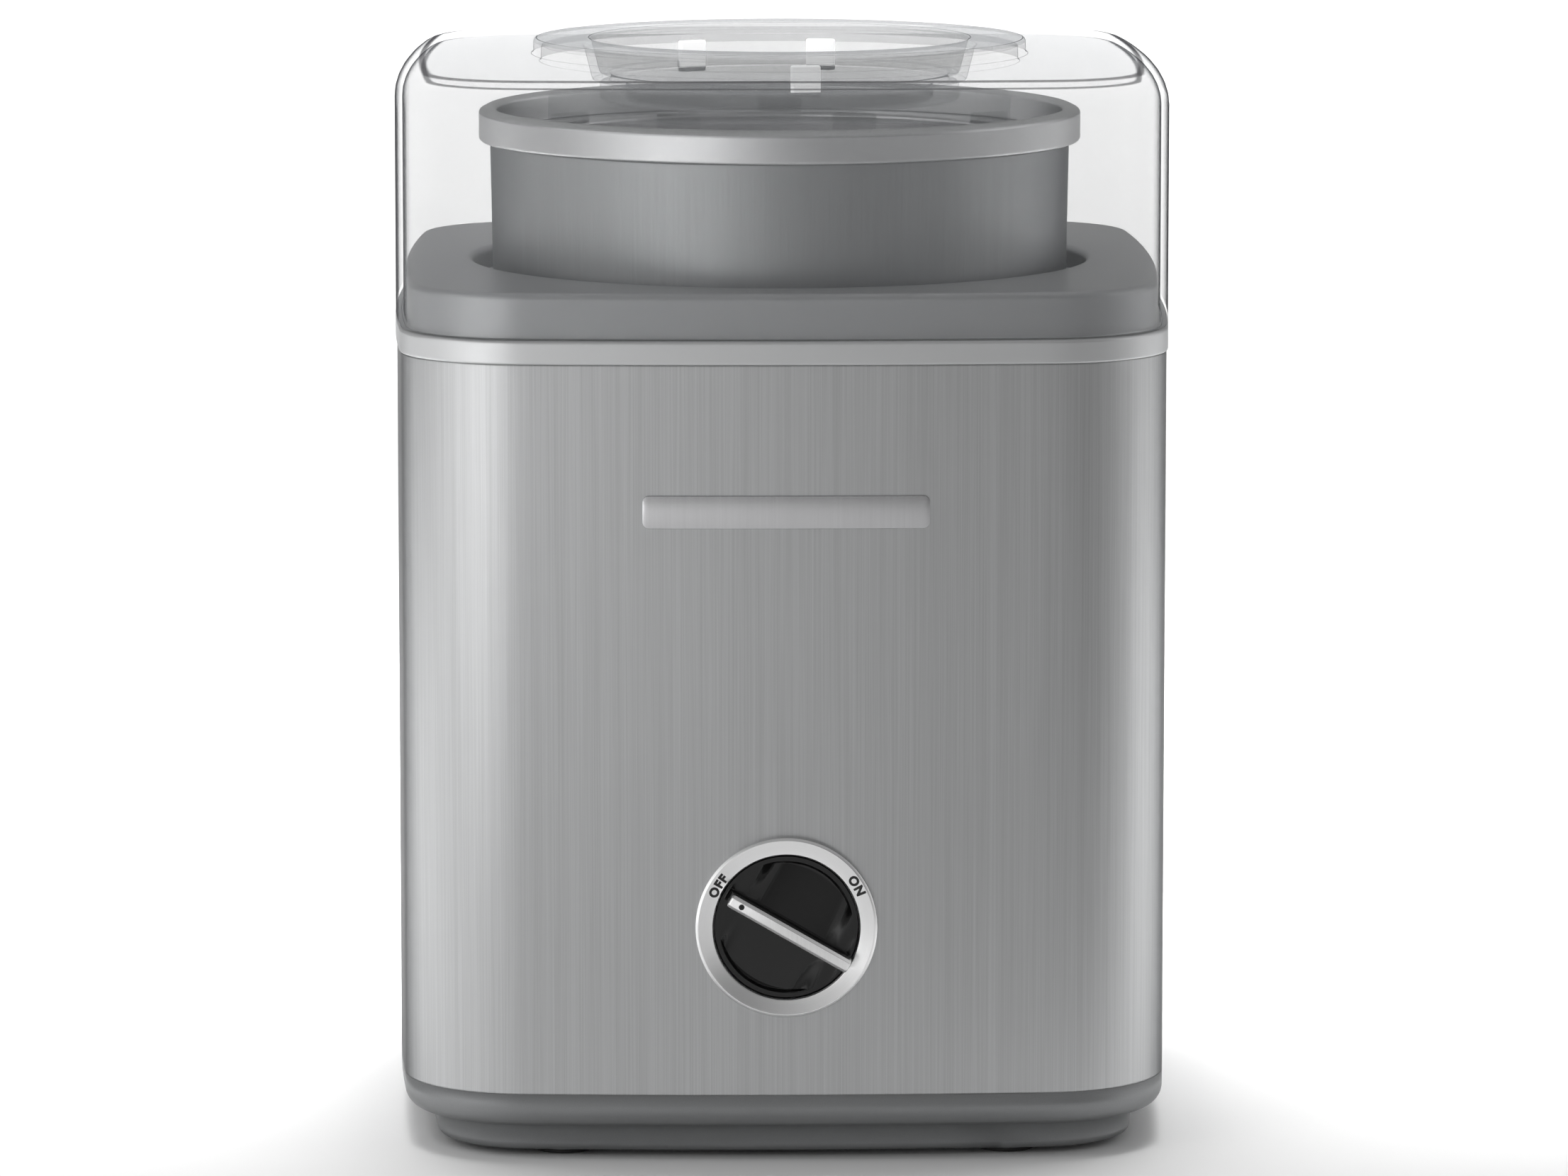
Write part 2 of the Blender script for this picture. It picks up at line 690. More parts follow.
INNER_FINISHES = {
    "case_plastic": Moulded("case_plastic", (0.05, 0.05, 0.055), 0.5, 0.4, 0.006),
    "gear_nylon": Moulded("gear_nylon", (0.80, 0.78, 0.70), 0.42, 0.5, 0.003),
    "machined_steel": BrushedMetal("turned_steel", (0.60, 0.60, 0.60), 0.24, Grain.ROUND, 0.2, 0.003, 0.06),
    "pinion_brass": BrushedMetal("cut_brass", (0.80, 0.60, 0.27), 0.26, Grain.ROUND, 0.2, 0.003, 0.06),
    "sintered_bronze": Moulded("sintered_bronze", (0.55, 0.36, 0.18), 0.5, 0.25, 0.01, 0.9, 0.12),
    "lamination_steel": BrushedMetal("laminations", (0.32, 0.33, 0.35), 0.45, Grain.UPRIGHT, 0.5, 0.01, 0.15),
    "rotor_metal": BrushedMetal("rotor_metal", (0.45, 0.46, 0.48), 0.38, Grain.ROUND, 0.5, 0.006, 0.1),
    "copper_winding": BrushedMetal(
        "copper_winding", (0.62, 0.24, 0.09), 0.35, Grain.UPRIGHT, 0.45, 0.06, 0.2),
    "bobbin_nylon": Moulded("bobbin_nylon", (0.82, 0.79, 0.68), 0.45),
    "bracket_zinc": Moulded("zinc_sheet", (0.60, 0.61, 0.63), 0.36, 1.5, 0.003, 1.0, 0.08),
    "screw_zinc": Moulded("zinc_screw", (0.66, 0.66, 0.68), 0.30, 0.4, 0.004, 1.0, 0.05),
    "fan_plastic": Moulded("fan_plastic", (0.06, 0.06, 0.065), 0.45),
    "hub_plastic": Moulded("hub_plastic", (0.16, 0.165, 0.17), 0.5, 0.35, 0.008),
    "seal_rubber": Moulded("seal_rubber", (0.12, 0.05, 0.035), 0.7, 0.4, 0.01),
    "switch_plastic": Moulded("switch_plastic", (0.09, 0.09, 0.095), 0.5),
    "coolant": Moulded("sealed_liquid", (0.25, 0.45, 0.70), 0.15, 4.0, 0.02, 0.0, 0.05),
    "bowl_socket": Moulded("socket_plastic", (0.20, 0.205, 0.21), 0.5, 0.35, 0.006),
    "foot_rubber": RUBBER,
    "grommet_rubber": RUBBER,
    "well_plastic": WELL,
    "base_grey": BASE,
}


# ---- sub-assemblies -----------------------------------------------------------------------
@dataclass
class TopHousing:
    """Trim band that carries the lid, the raised deck, and the bowl's round opening."""

    bottom: float = 209.0
    ledge: float = 215.3
    deck: float = 227.2
    deck_inset: float = 2.7
    opening: float = 82.0
    wall: float = 2.5

    def form(self) -> bpy.types.Object:
        """One closed profile: band, ledge, deck wall, deck top, mouth, and back underneath."""
        mouth = BODY.half_x - self.opening
        under = self.deck - self.wall
        corners = [
            (0.0, self.bottom, 0.5), (0.0, self.ledge, 0.9), (self.deck_inset, self.ledge, 0.5),
            (self.deck_inset, self.deck, 1.6), (mouth, self.deck, 1.7), (mouth, self.deck - 6.0, 0.5),
            (mouth - 2.8, self.deck - 6.0, 0.4), (mouth - 2.8, under, 0.4),
            (self.deck_inset + self.wall, under, 0.6), (self.deck_inset + self.wall, self.bottom, 0.3),
        ]
        path = rounded_path(corners, 6, closed=True)
        return Cast("top_housing_skin").grid(swept(path, square_to=6.0, round_from=15.0), closed=True).pour()

    def build(self) -> None:
        """Forms and dresses the housing."""
        settle(self.form(), "housing", "silver_trim", TRIM.material(), "top_housing")


@dataclass
class SteelSleeve:
    """The wrap of brushed sheet, with a round hole for the switch and one for the cord."""

    bottom: float = 18.1
    top: float = 209.0
    inset: float = 0.4
    sheet: float = 0.8
    knob_level: float = 62.8
    knob_hole: float = 20.0
    knob_gap: float = 25.0
    grommet_level: float = 36.0
    grommet_hole: float = 7.0
    grommet_gap: float = 12.0

    def _levels(self) -> np.ndarray:
        """Heights of the rows, with even rows beside each hole."""
        return np.concatenate([
            [self.bottom, self.bottom + 0.4],
            np.linspace(self.grommet_level - self.grommet_gap, self.grommet_level + 1, 5),
            np.linspace(self.knob_level - self.knob_gap, self.knob_level + self.knob_gap, 13),
            np.linspace(self.knob_level + 45, self.top - 20, 5),
            [self.top - 0.4, self.top],
        ])

    def _patch(self, cast: Cast, grid: np.ndarray, cells: np.ndarray, side: int, level: float,
               hole: float, inset: float) -> np.ndarray:
        """Fills a square gap in a wall round a hole.

        Each point of the gap's border runs straight to the hole's edge at the same bearing, and
        its depth follows the wall's arc.

        Args:
            cast: where the faces go.
            grid: the wall's points.
            cells: (first row, last row, first column, last column) of the gap.
            side: -1 for the front wall and 1 for the back.
            level: height of the hole's centre.
            hole: its radius.
            inset: the wall's inset.

        Returns:
            The point numbers round the hole's edge.
        """
        r0, r1, c0, c1 = cells
        loop = [(r0, c) for c in range(c0, c1)] + [(r, c1) for r in range(r0, r1)]
        loop += [(r1, c) for c in range(c1, c0, -1)] + [(r, c0) for r in range(r1, r0, -1)]
        rows, columns = np.array(loop).T
        border = grid[rows, columns]
        bearing = np.arctan2(border[:, 2] - level, border[:, 0])
        rim = np.stack([hole * np.cos(bearing), level + hole * np.sin(bearing)], -1)
        share = np.linspace(0, 1, 6)[:, None, None] ** 0.8
        flat = border[:, [0, 2]] * (1 - share) + rim * share
        depth = -side * BODY.front(flat[..., 0], inset)
        fill = np.stack([flat[..., 0], depth, flat[..., 1]], -1)
        fill[0] = border
        first = cast.count
        faces = cell_faces(6, len(loop), False, True)
        cast.add(fill, faces if inset < self.inset + 0.1 else faces[..., ::-1])
        return first + np.arange(5 * len(loop), 6 * len(loop))

    def form(self) -> bpy.types.Object:
        """Outer and inner walls with both holes cut, joined along the edges and round the holes."""
        levels = self._levels()
        rows, columns = len(levels), BODY.columns
        cast = Cast("steel_sleeve_skin")
        insets = (self.inset, self.inset + self.sheet)
        walls = [swept(np.stack([np.full(rows, inset), levels], -1)) for inset in insets]
        both = np.concatenate([walls[0], walls[1][::-1]])
        keep = np.ones((2 * rows, columns), bool)
        holes = []
        for side, level, radius, reach in ((-1, self.knob_level, self.knob_hole, self.knob_gap),
                                           (1, self.grommet_level, self.grommet_hole, self.grommet_gap)):
            middle = columns * 3 // 4 if side < 0 else columns // 4
            across = np.abs(walls[0][0, :, 0])
            near = [c for c in range(middle - 20, middle + 21) if across[c] <= reach + 1.0]
            low = int(np.argmin(np.abs(levels - (level - reach))))
            high = int(np.argmin(np.abs(levels - (level + reach))))
            keep[low:high, near[0]:near[-1]] = False
            keep[2 * rows - 1 - high:2 * rows - 1 - low, near[0]:near[-1]] = False
            holes.append((side, level, radius, (low, high, near[0], near[-1])))
        cast.add(both, cell_faces(2 * rows, columns, True, True)[keep])
        for side, level, radius, cells in holes:
            outer, inner = (self._patch(cast, wall, cells, side, level, radius, inset)
                            for wall, inset in zip(walls, insets))
            ring = np.stack([outer, np.roll(outer, -1), np.roll(inner, -1), inner], -1)
            cast.faces += ring.tolist()
        return cast.pour()

    def build(self) -> None:
        """Forms and dresses the sleeve."""
        piece = self.form()
        join_doubles(piece)
        settle(piece, "housing", "brushed_wrap", STEEL_WRAP.material(), "steel_sleeve")


def join_doubles(piece: bpy.types.Object, reach_mm: float = 0.005) -> None:
    """Merges points that lie on each other, and points every face outwards."""
    work = bmesh.new()
    work.from_mesh(piece.data)
    bmesh.ops.remove_doubles(work, verts=work.verts, dist=reach_mm * MM)
    bmesh.ops.recalc_face_normals(work, faces=work.faces)
    work.to_mesh(piece.data)
    work.free()


@dataclass
class ClearLid:
    """Deep clear cover whose top rises to a round collar and drops into a short filler spout."""

    bottom: float = 215.6
    face: float = 281.6
    inset: float = 0.1
    wall: float = 2.0
    rounding: float = 9.5
    collar: float = 65.7
    spout: float = 50.5
    spout_bottom: float = 274.6
    notch_bearings: tuple[float, ...] = (75.0, 120.0, 277.5)
    notch_half_width: float = 4.6
    notch_keep: float = 0.15

    def _profile(self) -> np.ndarray:
        """Closed section, from the outer wall over the collar, down the spout and back inside."""
        collar, spout = BODY.half_x - self.collar, BODY.half_x - self.spout
        inner, under = self.inset + self.wall, self.face - self.wall
        lip, crown = self.spout_bottom + 1.8, TOP - self.wall
        soft = 0.6
        corners = [
            (self.inset, self.bottom, soft), (self.inset, self.face, self.rounding),
            (collar, self.face, 0.8), (collar, TOP, 1.0), (spout, TOP, 1.0), (spout + 2.5, lip, soft),
            (spout + 5.5, lip, soft), (spout + 5.5, self.spout_bottom, soft),
            (spout + 0.5, self.spout_bottom, soft), (spout - 1.8, crown, soft),
            (collar + self.wall, crown, soft), (collar + self.wall, under, soft),
            (inner, under, self.rounding - self.wall), (inner, self.bottom, soft),
        ]
        return rounded_path(corners, 8, closed=True)

    def form(self) -> bpy.types.Object:
        """The section carried round the body. The lip draws back at each notch for the paddle."""
        grid = swept(self._profile(), square_to=12.0, round_from=33.0)
        radius = np.hypot(grid[..., 0], grid[..., 1])
        bearing = np.degrees(np.arctan2(grid[..., 1], grid[..., 0]))
        throat = self.spout - 2.6
        for notch in self.notch_bearings:
            off = np.abs((bearing - notch + 180) % 360 - 180)
            half = math.degrees(self.notch_half_width / throat)
            drawn = (radius < throat) & (off < half)
            scale = np.where(drawn, (throat - (throat - radius) * self.notch_keep) / radius, 1.0)
            grid[..., :2] *= scale[..., None]
        return Cast("clear_lid").grid(grid, closed=True).pour()

    def build(self) -> None:
        """Forms and dresses the lid."""
        settle(self.form(), "lid", "clear_cover", COVER.material(), "lid_cover")


@dataclass
class FreezerBowl:
    """Double-walled bowl: satin outer shell, rounded rim, spun liner and the drive socket under it."""

    bottom: float = 97.0
    rim_bottom: float = 258.5
    rim_radius: float = 80.4
    crest: float = 77.2
    wall_top: float = 77.4
    wall_bottom: float = 74.4
    ledge: float = 260.0
    liner_top: float = 66.5
    liner_bottom: float = 63.5
    liner_floor: float = 112.0
    sheet: float = 1.5
    shell: float = 1.2
    recess: float = 27.0
    recess_top: float = 106.0

    def _shell(self) -> bpy.types.Object:
        """Outer shell as a closed turned section, with the drive's recess in its floor."""
        thick = self.shell
        inside, roof = self.bottom + thick, self.recess_top + thick
        corners = [
            (0.0, self.recess_top, 0.0), (self.recess, self.recess_top, 0.8), (self.recess, self.bottom, 0.8),
            (self.wall_bottom, self.bottom, 2.0), (self.wall_top, self.rim_bottom, 0.2),
            (self.wall_top - thick, self.rim_bottom, 0.2), (self.wall_bottom - thick, inside, 1.0),
            (self.recess + thick, inside, 0.6), (self.recess + thick, roof, 0.6), (0.0, roof, 0.0),
        ]
        return Cast("bowl_wall").grid(turned(rounded_path(corners, 5))).pour()

    def _rim(self) -> bpy.types.Object:
        """Rim ring: plain outer band, domed crest and a step down to the liner's flange."""
        corners = [
            (self.wall_top - 1.0, self.rim_bottom, 0.2), (self.rim_radius, self.rim_bottom, 0.9),
            (self.rim_radius, 266.4, 1.1), (self.crest + 0.4, 267.8, 2.2), (75.6, 266.6, 1.0),
            (75.0, self.ledge, 0.4), (self.wall_top - 1.0, self.ledge, 0.2),
        ]
        return Cast("bowl_rim_ring").grid(turned(rounded_path(corners, 6, closed=True)), closed=True).pour()

    def _liner(self) -> bpy.types.Object:
        """Spun cup: flange, slight roll at its mouth, tapered wall and a round corner at the floor."""
        under = self.ledge - self.sheet
        corners = [
            (0.0, self.liner_floor, 0.0), (self.liner_bottom, self.liner_floor, 9.0),
            (self.liner_top, under, 0.8), (76.0, under, 0.3), (76.0, self.ledge, 0.3),
            (self.liner_top - self.sheet, self.ledge, 1.2),
            (self.liner_bottom - self.sheet, self.liner_floor + self.sheet, 7.5),
            (0.0, self.liner_floor + self.sheet, 0.0),
        ]
        return Cast("bowl_liner_cup").grid(turned(rounded_path(corners, 8))).pour()

    def build(self) -> None:
        """Forms and dresses the bowl's three visible pieces."""
        settle(self._shell(), "freezer_bowl", "bowl_shell", BOWL_WALL.material(), "bowl_outer_shell")
        settle(self._rim(), "freezer_bowl", "bowl_rim", RIM.material(), "bowl_rim")
        settle(self._liner(), "freezer_bowl", "bowl_liner", LINER.material(), "bowl_liner")


@dataclass
class MixingPaddle:
    """Still dasher: a ring with three lugs, a cross bar, blades set at a slant and three ribs."""

    ring_top: float = 274.3
    ring_outer: float = 48.0
    ring_inner: float = 41.0
    bar_low: float = 262.5
    blade_bottom: float = 115.8
    lug_bearings: tuple[float, ...] = (75.0, 120.0, 277.5)
    lug_top: float = 281.7
    lug_size: tuple[float, float] = (2.2, 7.8)
    lug_radius: float = 46.2
    ring_tall: float = 5.0
    bar_size: tuple[float, float] = (123.6, 4.4)
    hub_width: float = 11.6
    blades: tuple[Corner, ...] = (
        (56.0, 24.0, 10.6), (-56.0, 24.0, 10.6), (-27.0, -30.0, 12.6), (20.0, -30.0, 12.6))
    blade_thick: float = 3.0
    ribs: tuple[float, ...] = (115.8, 172.0, 224.0)
    rib_size: Corner = (113.0, 3.8, 5.8)

    def _box(self, cast: Cast, centre: Corner, size: Corner, radius: float, turn: float = 0.0) -> None:
        """Adds a round-edged box, turned about its own upright axis and then moved."""
        cast.grid(turn_z(rounded_box(size, radius), turn) + np.array(centre))

    def form(self) -> bpy.types.Object:
        """Ring, lugs, cross bar, slanted blades and ribs in one mesh."""
        cast = Cast("mixing_paddle_skin")
        low = self.ring_top - self.ring_tall
        ring = [(self.ring_outer, low, 0.8), (self.ring_outer, self.ring_top, 1.2),
                (self.ring_inner, self.ring_top, 1.2), (self.ring_inner, low, 0.8)]
        cast.grid(turned(rounded_path(ring, 5, closed=True)), closed=True)
        for bearing in self.lug_bearings:
            tall = self.lug_top - self.ring_top + 1.0
            lug = rounded_box((*self.lug_size, tall), 0.5)
            lug = lug + np.array([self.lug_radius, 0.0, self.lug_top - tall / 2])
            cast.grid(turn_z(lug, bearing))
        top = self.ring_top - 3.0
        self._box(cast, (0.0, 0.0, (self.bar_low + top) / 2), (*self.bar_size, top - self.bar_low), 1.2)
        hub_tall = self.ring_top - self.bar_low - 1.2
        self._box(cast, (0.0, 0.0, (self.bar_low + self.ring_top) / 2 - 0.5),
                  (self.hub_width, self.hub_width, hub_tall), 4.0)
        tall = self.bar_low - self.blade_bottom + 3.0
        for x, turn, width in self.blades:
            lift = 4.5 if abs(x) > 50 else 0.0
            centre = (x, 0.0, self.blade_bottom + (tall + lift) / 2)
            self._box(cast, centre, (width, self.blade_thick, tall - lift), 1.1, turn)
        for level in self.ribs:
            self._box(cast, (0.0, 0.0, level + 3.0), self.rib_size, 1.2)
        return cast.pour()

    def build(self) -> None:
        """Forms and dresses the paddle."""
        settle(self.form(), "paddle", "paddle_clear", PADDLE.material(), "mixing_paddle")


@dataclass
class SwitchKnob:
    """Bright bezel marked OFF and ON, black two-sloped knob, and the pointer bar on its rib."""

    level: float = 62.8
    front: float = 99.8
    bezel_outer: float = 23.65
    bezel_inner: float = 18.9
    knob: float = 18.5
    pointer_turn: float = 60.0
    reach: float = 9.66
    dot_along: float = 13.5
    face_inner: float = 19.2
    face_low: float = 2.0
    face_rise: float = 0.17
    letter: float = 2.5
    stroke: float = 0.17
    marks: dict[str, tuple[float, float]] = field(
        default_factory=lambda: {"OFF": (58.3, 19.75), "ON": (-58.9, 20.2)})

    def _forward(self, points: np.ndarray) -> np.ndarray:
        """Points of (right, up, towards the front) moved to the front panel."""
        return np.stack([points[..., 0], -self.front - points[..., 2], self.level + points[..., 1]], -1)

    def _spin(self, points: np.ndarray) -> np.ndarray:
        """Points turned so that up becomes the way that the pointer points at rest."""
        return turn_z(points, self.pointer_turn)

    def _bezel(self) -> bpy.types.Object:
        """Turned ring: outer edge, gently coned face, inner lip and a sleeve through the panel."""
        corners = [
            (self.bezel_outer, -0.05, 0.2), (self.bezel_outer, 2.1, 0.5), (22.9, 2.65, 0.3),
            (self.face_inner, self.face_low, 0.25), (self.bezel_inner, 1.5, 0.2),
            (self.bezel_inner, -4.5, 0.3), (19.95, -4.5, 0.3), (19.95, -0.05, 0.2),
        ]
        grid = turned(rounded_path(corners, 6, closed=True), 200)
        return Cast("knob_bezel_ring").grid(self._forward(grid), closed=True).pour()

    def _mark(self, word: str, bearing: float, base: float) -> bpy.types.Object:
        """A word set round the bezel.

        The flat letters become a mesh, and each point's distance along the word turns into a
        bearing and its height into a radius.

        Args:
            word: what it says.
            bearing: degrees anticlockwise from the top of the bezel to the word's middle.
            base: radius that the letters stand on.

        Returns:
            The letters as a thin printed layer.
        """
        curve = bpy.data.curves.new("mark_" + word, "FONT")
        curve.body = word
        curve.align_x = "CENTER"
        curve.size = self.letter * 1.3
        curve.offset = self.stroke
        curve.extrude = 0.06
        curve.space_character = 1.22
        source = bpy.data.objects.new("mark_source", curve)
        bpy.context.scene.collection.objects.link(source)
        evaluated = source.evaluated_get(bpy.context.evaluated_depsgraph_get())
        mesh = bpy.data.meshes.new_from_object(evaluated)
        flat = np.zeros(len(mesh.vertices) * 3, np.float32)
        mesh.vertices.foreach_get("co", flat)
        flat = flat.reshape(-1, 3).astype(float)
        angle = math.radians(90 + bearing) - flat[:, 0] / (base + self.letter / 2)
        radius = base + flat[:, 1]
        slope = self.face_low + (radius - self.face_inner) * self.face_rise
        bent = np.stack([radius * np.cos(angle), radius * np.sin(angle), slope + 0.03 + flat[:, 2]], -1)
        placed = (self._forward(bent) + [0.0, AXIS_Y, 0.0]) * MM
        mesh.vertices.foreach_set("co", placed.astype(np.float32).ravel())
        mesh.update()
        bpy.data.objects.remove(source)
        made = bpy.data.objects.new("mark_" + word.lower(), mesh)
        bpy.context.scene.collection.objects.link(made)
        return made

    def _disc(self) -> bpy.types.Object:
        """Knob face: a central rib, and on each side a flat that falls away to a raised rim.

        Across the knob the height is a profile of the distance from the rib, stretched to the
        chord's half width at each station along the rib. The rows end where the chord is as
        narrow as the rib, and a skirt carries the rim down behind the panel.
        """
        rib, rib_top = 1.35, 5.1
        across = rounded_path([
            (0.0, rib_top, 0.0), (rib, rib_top, 0.4), (rib + 0.25, 0.75, 0.4), (15.8, -0.55, 0.3),
            (16.9, -0.3, 0.4), (17.1, 1.1, 0.35), (18.2, 1.1, 0.3), (18.2, 0.4, 0.2)], 4)
        along = np.sin(np.linspace(-1, 1, 61) * math.pi / 2) * self.knob * 0.9965
        chord = np.sqrt(self.knob ** 2 - along ** 2)
        inner = np.minimum(rib + 0.25, chord)[:, None]
        near = across[None, :, 0] <= rib + 0.25
        stretch = (chord[:, None] - inner) / (18.2 - rib - 0.25)
        x = np.where(near, np.minimum(across[None, :, 0], chord[:, None]),
                     inner + (across[None, :, 0] - rib - 0.25) * stretch)
        ends = np.clip((self.knob * 0.95 - np.abs(along)) / 0.9, 0, 1)[:, None]
        rim = 1.1 + 0 * x
        sunk = np.clip((self.knob - 1.2 - np.hypot(x, along[:, None])) / 0.5, 0, 1)
        tall = across[None, :, 1]
        flat = np.where(tall < 1.1, rim + (np.minimum(tall, 1.1) - rim) * sunk, tall)
        height = np.where(tall > 1.1, 1.1 + (tall - 1.1) * ends, flat)
        y = np.broadcast_to(along[:, None], x.shape)
        right = np.stack([x, y, height], -1)
        left = (right * [-1, 1, 1])[:, :0:-1]
        face = np.concatenate([left, right], 1)
        cast = Cast("knob_disc")
        cast.grid(self._forward(self._spin(face)), wrap=False)
        skirt = [(18.15, 0.3, 0.0), (18.15, 1.1, 0.0), (self.knob, 0.9, 0.0), (self.knob, -2.4, 0.0),
                 (4.0, -2.4, 0.0), (4.0, -9.9, 0.0), (3.1, -9.9, 0.0)]
        ring = turned(rounded_path(skirt, 3), 160)
        cast.add(self._forward(ring), cell_faces(len(ring), 160, False, True))
        return cast.pour()

    def _bar(self) -> bpy.types.Object:
        """Bright bar on the rib: a chamfered section swept along it, drawn in at both ends."""
        half, chamfer, low = 1.75, 0.75, 5.0
        section = rounded_path([
            (half, low, 0.15), (half, self.reach - chamfer, 0.12), (half - chamfer, self.reach, 0.12),
            (chamfer - half, self.reach, 0.12), (-half, self.reach - chamfer, 0.12), (-half, low, 0.15),
        ], 4, closed=True)
        along = np.array([-18.5, -18.35, -18.0, 16.4, 16.75, 16.9])
        draw = np.array([0.4, 0.12, 0.0, 0.0, 0.12, 0.4])[:, None]
        x = section[None, :, 0] * (1 - draw / half)
        z = low + (section[None, :, 1] - low) * (1 - draw / (self.reach - low))
        grid = np.stack([x, np.broadcast_to(along[:, None], x.shape), z], -1)
        return Cast("pointer_bar").grid(self._forward(self._spin(grid))).pour()

    def _dot(self) -> bpy.types.Object:
        """Black dot let into the bar."""
        radius, thick = 0.75, 0.06
        profile = [(0.0, 0.0, 0.0), (radius, 0.0, 0.1), (radius, thick, 0.03), (0.0, thick, 0.0)]
        dot = turned(rounded_path(profile, 3), 32)
        moved = dot + np.array([0.0, self.dot_along, self.reach - thick / 2])
        return Cast("pointer_dot").grid(self._forward(self._spin(moved))).pour()

    def build(self) -> None:
        """Forms and dresses the bezel with its marks, the knob and its bar."""
        settle(self._bezel(), "housing", "bezel_chrome", BEZEL.material(), "knob_bezel")
        ink = INK.material()
        for word, (bearing, base) in self.marks.items():
            settle(self._mark(word, bearing, base), "housing", "knob_black", ink)
        settle(self._disc(), "control_knob", "knob_black", KNOB.material(), "knob")
        settle(self._bar(), "control_knob", "pointer_metal", POINTER.material(), "knob_pointer_bar")
        settle(self._dot(), "control_knob", "knob_black", ink)


@dataclass
class BasePan:
    """Lower band and plinth as one rounded tray."""

    crease: float = 32.0

    def build(self) -> None:
        """Dresses a smooth-shaded copy of the CAD tray, which keeps its vents and screw pockets."""
        piece = smooth_copy("base_tray", "base_tray_skin", self.crease)
        settle(piece, "housing", "base_grey", BASE.material(), "base_tray")


def smooth_copy(node: str, name: str, crease: float) -> bpy.types.Object:
    """A merged, smooth-shaded copy of a CAD node whose edges past the crease angle stay sharp."""
    source = frame["nodes"][node]
    made = bpy.data.objects.new(name, source.data.copy())
    bpy.context.scene.collection.objects.link(made)
    join_doubles(made)
    made.data.shade_smooth()
    made.data.set_sharp_from_angle(angle=math.radians(crease))
    return made


@dataclass
class Badge:
    """A blank bright plate where a maker would put a name."""

    width: float = 74.0
    height: float = 8.6
    corner: float = 1.6
    level: float = 171.0
    proud: float = 0.4
    edge: float = 0.25

    def form(self) -> bpy.types.Object:
        """Closed sections set side by side across the panel.

        A section is a flat loop with round front edges. Its half height follows the plate's
        outline, which has round corners, and its depth follows the panel's arc.
        """
        reach = self.width / 2
        turn = np.linspace(math.pi, math.pi / 2, 10)
        end = -reach + self.corner + self.corner * np.cos(turn)
        across = np.concatenate([end, np.linspace(end[-1], -end[-1], 40)[1:-1], -end[::-1]])
        past = np.maximum(np.abs(across) - reach + self.corner, 0.0)
        half = self.height / 2 - self.corner + np.sqrt(np.maximum(self.corner ** 2 - past ** 2, 1e-6))
        bend = np.linspace(0, math.pi / 2, 6)
        lift = self.proud - self.edge + self.edge * np.cos(bend)
        cut = self.edge * np.sin(bend)
        up = np.concatenate([half[:, None] - self.edge + cut[None, :], half[:, None]], 1)
        out = np.append(lift, -0.2)
        high = np.concatenate([up, -up[:, ::-1]], 1)
        depth = np.concatenate([out, out[::-1]])
        panel = BODY.front(across, SteelSleeve.inset)[:, None]
        grid = np.stack([across[:, None] + 0 * high, panel - depth[None, :], self.level + high], -1)
        piece = Cast("blank_badge").grid(grid).pour()
        join_doubles(piece)
        return piece

    def build(self) -> None:
        """Forms and dresses the plate."""
        settle(self.form(), "housing", "badge_bright", BADGE.material(), "name_badge")


class Insides:
    """Every CAD node that keeps its own mesh."""

    def build(self) -> None:
        """Dresses each node with the finish of its material slot."""
        made: dict[str, bpy.types.Material] = {}
        for part in frame["record"]["subparts"]:
            node, slot = part["node"], part["material_slot"]
            piece = frame["nodes"][node]
            if piece.hide_render:
                continue
            if slot not in made:
                made[slot] = INNER_FINISHES[slot].material()
            dress(piece, made[slot])
            LOG.info("%s: CAD mesh, finish %s", node, slot)


